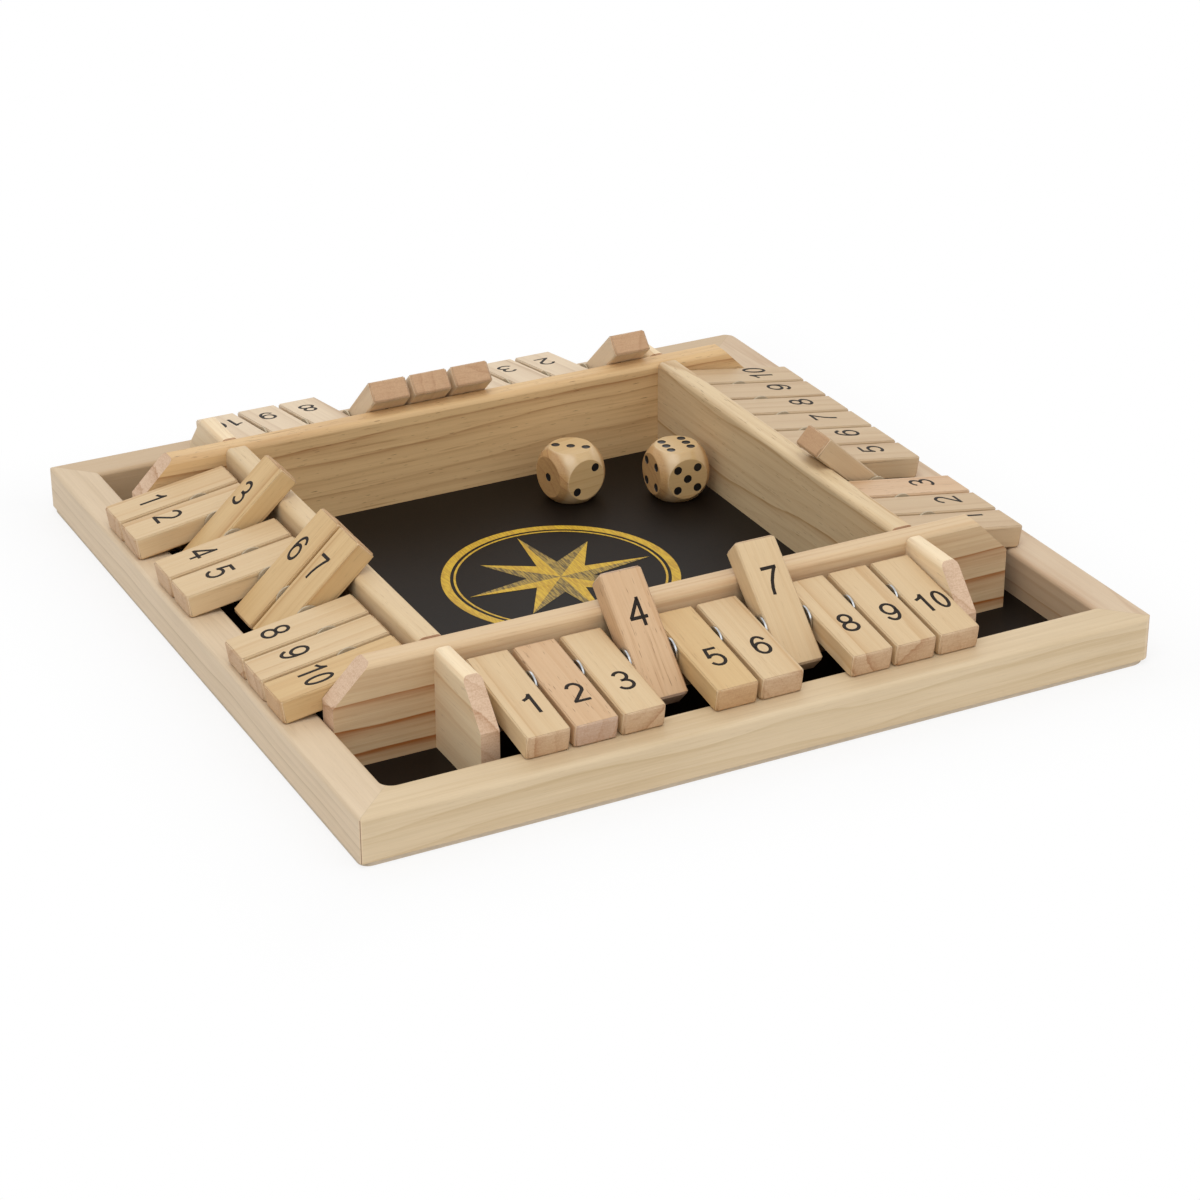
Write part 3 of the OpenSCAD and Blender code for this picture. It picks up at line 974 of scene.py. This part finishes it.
def gold_material(name, light, dark):
    made, tree, skin = new_material(name)
    place = scale(tree, add(tree, "TexCoord").outputs["Object"], 1 / MM)
    hatch = grainy(tree, place, *HATCHING).outputs[0]
    lines = rise(tree, hatch, *HATCH_SHOWS)
    plug(tree, skin.inputs["Base Color"], tint(tree, lines, shade(light), shade(dark)))
    rough = calc(tree, "MULTIPLY_ADD", hatch, HATCH_ROUGHNESS, GOLD_ROUGHNESS)
    plug(tree, skin.inputs["Roughness"], rough)
    return made


def shade_half_points(piece):
    """Every second half of the star's points is in the darker gold."""
    for face in piece.data.polygons:
        x = face.center.x - TRAY_MIDDLE[0] * MM
        y = face.center.y - TRAY_MIDDLE[1] * MM
        wedge = math.floor(math.degrees(math.atan2(y, x)) * STAR_POINTS / 180)
        face.material_index = wedge % 2


def print_board():
    gold = gold_material("gold_print", *GOLD)
    shadow = gold_material("gold_print_shaded", *SHADED_GOLD)
    middle = Matrix.Translation(Vector((*TRAY_MIDDLE, BOARD_TOP)) * MM)
    pieces = [flat_ring(name, *sizes) for name, sizes in PRINT_RINGS.items()]
    pieces += [flat_star(name, *sizes) for name, sizes in PRINT_STARS.items()]
    # The last star lies on the one before it
    pieces[-1].data.transform(Matrix.Translation((0, 0, PRINT_T * MM)))
    for piece in pieces:
        piece.data.transform(middle)
        piece.data.materials.append(gold)
        piece.data.materials.append(shadow)
        if "star" in piece.name:
            shade_half_points(piece)
        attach(piece, "board")


# ---------- stage, light and camera ----------

WHITE = (1, 1, 1, 1)
# The floor's width, and how far it lies below the game, in metres
FLOOR_SIZE = 8
FLOOR_DROP = 0.0002
FLOOR_GREY = (0.86, 0.86, 0.86, 1)
# The floor is white to the camera but takes some shadow near the game: where that starts
# to fade and where it ends, in metres from the middle, and its share
SHADOW_FADES = (0.14, 0.2)
SHADOW_SHARE = 0.22

# The white world's strength as a light; the camera sees it at 1
WORLD_LIGHT = 0.74
# Places and widths in metres, and power in watts
SOFTBOXES = {
    "key": {"place": (-0.45, -0.6, 1.35), "power": 6.4, "size": 0.9},
    "fill": {"place": (0.9, -0.9, 1.0), "power": 2, "size": 1.0},
    "back": {"place": (0.2, 1.1, 1.3), "power": 2.3, "size": 1.0},
}

# The photograph's camera, with its place in metres and its focal length in pixels
CAMERA_AT = (-0.44106, -0.87815, 0.48392)
CAMERA_RIGHT = Vector((0.88890, -0.45809, -0.00251))
CAMERA_FORWARD = Vector((0.40875, 0.79561, -0.44714))
FOCAL_PIXELS = 3132.12
PHOTO_SIDE = 1200
SENSOR = 36
NEAREST = 0.01


def seen_rays(tree):
    """1 for what the camera sees, straight, mirrored or through glass."""
    path = add(tree, "LightPath").outputs
    seen = calc(tree, "MAXIMUM", path["Is Camera Ray"], path["Is Glossy Ray"])
    return calc(tree, "MAXIMUM", seen, path["Is Transmission Ray"])


def floor_material():
    made = bpy.data.materials.new("pale_floor")
    made.use_nodes = True
    tree = made.node_tree
    tree.nodes.clear()
    coords = add(tree, "TexCoord").outputs["Object"]
    x, y = split(tree, steer(tree, "ABSOLUTE", coords))[:2]
    near = inverse(tree, rise(tree, calc(tree, "MAXIMUM", x, y), *SHADOW_FADES))
    lit = add(tree, "BsdfDiffuse", {"Color": FLOOR_GREY}).outputs[0]
    white = add(tree, "Emission", {"Color": WHITE, "Strength": 1.0}).outputs[0]
    share = calc(tree, "MULTIPLY_ADD", near, -SHADOW_SHARE, 1.0)
    amount = calc(tree, "MULTIPLY", seen_rays(tree), share)
    mixed = add(tree, "MixShader", {0: amount, 1: lit, 2: white}).outputs[0]
    add(tree, "OutputMaterial", {"Surface": mixed})
    return made


def dress_floor():
    bpy.ops.object.select_all(action="DESELECT")
    bpy.ops.mesh.primitive_plane_add(size=FLOOR_SIZE, location=(0, 0, -FLOOR_DROP))
    floor = bpy.context.object
    floor.name = "floor"
    floor.data.materials.append(floor_material())


def light_world():
    """A white world, which the camera sees brighter than it lights the game."""
    world = bpy.data.worlds.new("studio")
    bpy.context.scene.world = world
    world.use_nodes = True
    tree = world.node_tree
    back = tree.nodes["Background"]
    back.inputs["Color"].default_value = WHITE
    strength = calc(tree, "MULTIPLY_ADD", seen_rays(tree), 1 - WORLD_LIGHT, WORLD_LIGHT)
    plug(tree, back.inputs["Strength"], strength)


def softbox(name, place, power, size):
    """A square lamp that faces the middle of the game."""
    lamp = bpy.data.lights.new(name, "AREA")
    lamp.energy = power
    lamp.size = size
    piece = bpy.data.objects.new(name, lamp)
    bpy.context.scene.collection.objects.link(piece)
    piece.location = place
    piece.rotation_euler = (-Vector(place)).to_track_quat("-Z", "Y").to_euler()


def light_studio():
    light_world()
    for name, lamp in SOFTBOXES.items():
        softbox(name, **lamp)


def place_camera():
    lens = bpy.data.cameras.new("camera")
    lens.sensor_width = SENSOR
    lens.lens = FOCAL_PIXELS * lens.sensor_width / PHOTO_SIDE
    lens.clip_start = NEAREST
    camera = bpy.data.objects.new("camera", lens)
    bpy.context.scene.collection.objects.link(camera)
    forward = CAMERA_FORWARD.normalized()
    right = CAMERA_RIGHT - CAMERA_RIGHT.dot(forward) * forward
    right.normalize()
    up = right.cross(forward)
    turn = Matrix((right, up, -forward)).transposed().to_4x4()
    camera.matrix_world = Matrix.Translation(CAMERA_AT) @ turn
    bpy.context.scene.camera = camera


dress_rails()
dress_walls()
dress_brackets()
dress_board()
dress_steel()
dress_dice()
dress_tiles()
number_tiles()
print_board()
dress_floor()
light_studio()
place_camera()
bpy.context.scene.view_settings.view_transform = "Standard"
